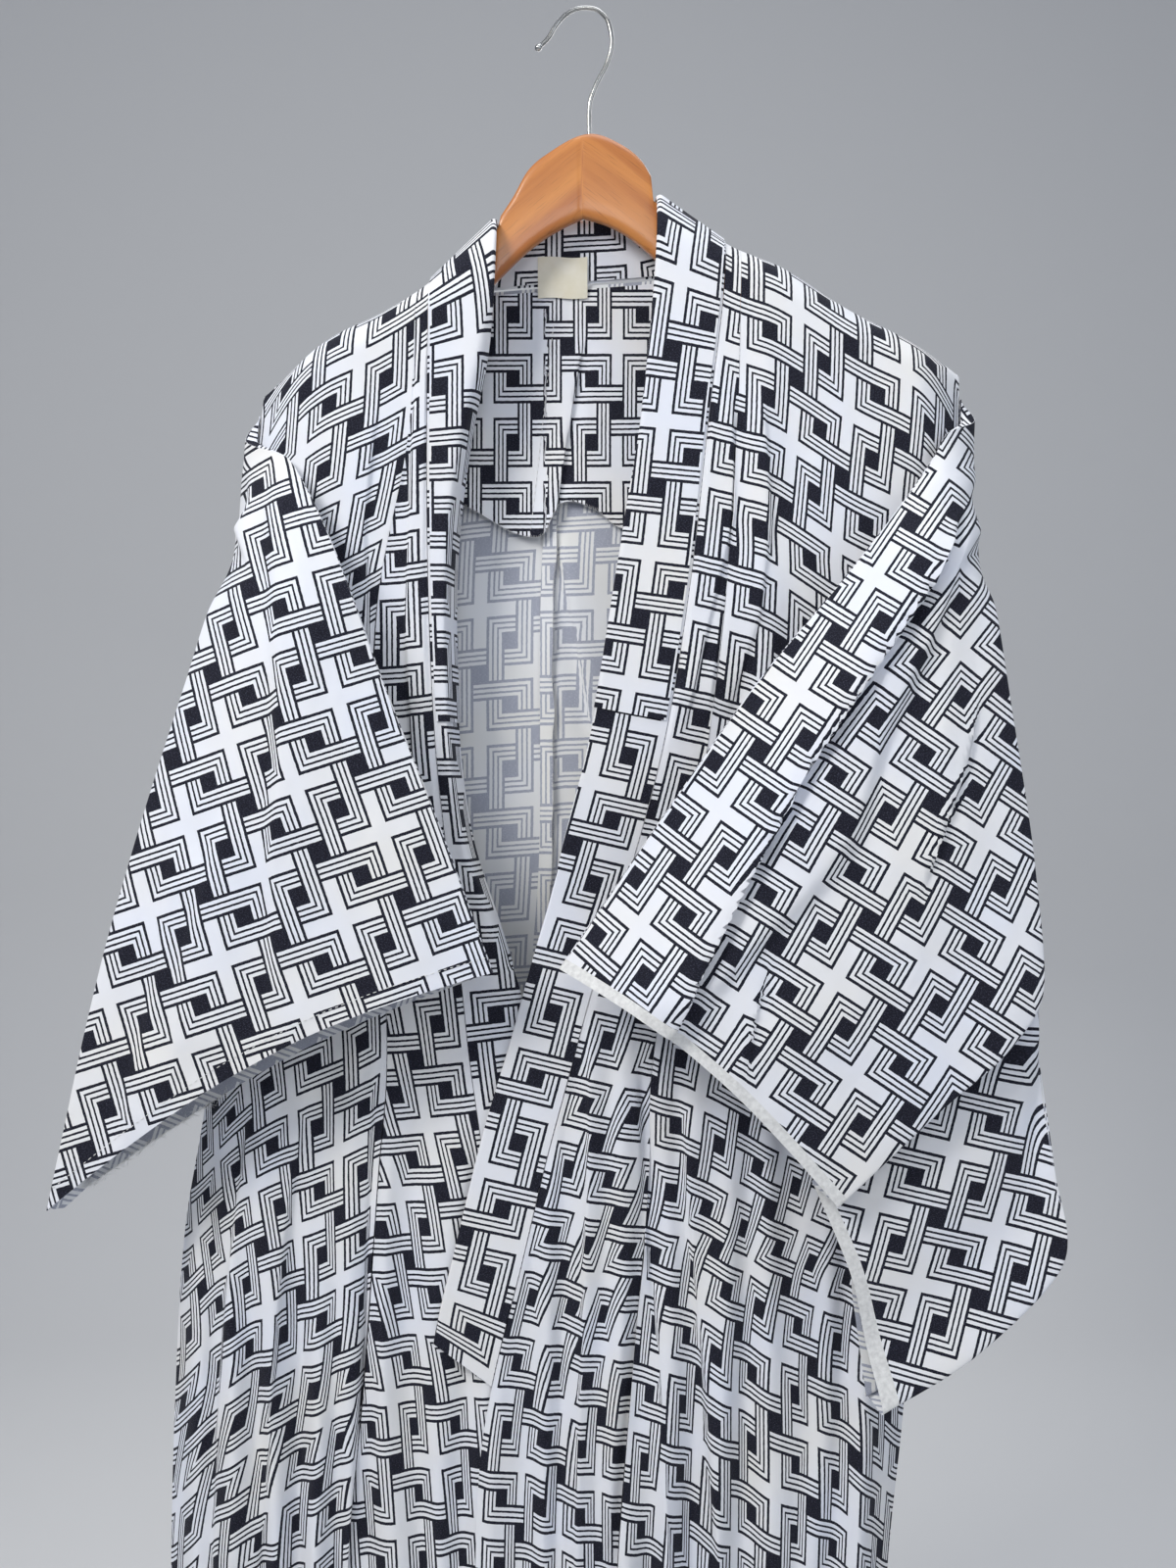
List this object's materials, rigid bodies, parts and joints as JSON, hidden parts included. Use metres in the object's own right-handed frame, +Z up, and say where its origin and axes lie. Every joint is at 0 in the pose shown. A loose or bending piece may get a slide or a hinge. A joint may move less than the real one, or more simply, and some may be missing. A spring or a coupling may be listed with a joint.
{
  "type": "kimono on a hanger",
  "caption": "Unlined cotton kimono hanging open on a bowed wooden coat hanger, its wide sleeves folded forward across the front.",
  "frame": {"origin": "inside top of the hanger's hook, where it rests on what holds it", "axes": "+X to the wearer's left, -Y out of the garment's front, +Z up"},
  "size_m": [0.7986, 0.1641, 1.5839],
  "materials": {
    "printed_cotton": "matt plain-weave cotton printed with a dark interlocking fret on a pale ground",
    "cream_cotton": "matt cotton tape, blank",
    "varnished_wood": "orange-brown wood with a glossy clear varnish",
    "plated_wire": "bright plated steel wire"
  },
  "bodies": {
    "root": {"front_right": "printed_cotton", "front_left": "printed_cotton", "overlap_right": "printed_cotton", "overlap_left": "printed_cotton", "back_right": "printed_cotton", "back_left": "printed_cotton", "collar": "printed_cotton", "over_collar": "printed_cotton", "sleeve_right": "printed_cotton", "sleeve_left": "printed_cotton", "yoke": "printed_cotton", "label": "cream_cotton", "hanger_wood": "varnished_wood", "hook": "plated_wire"}
  },
  "joints": []
}
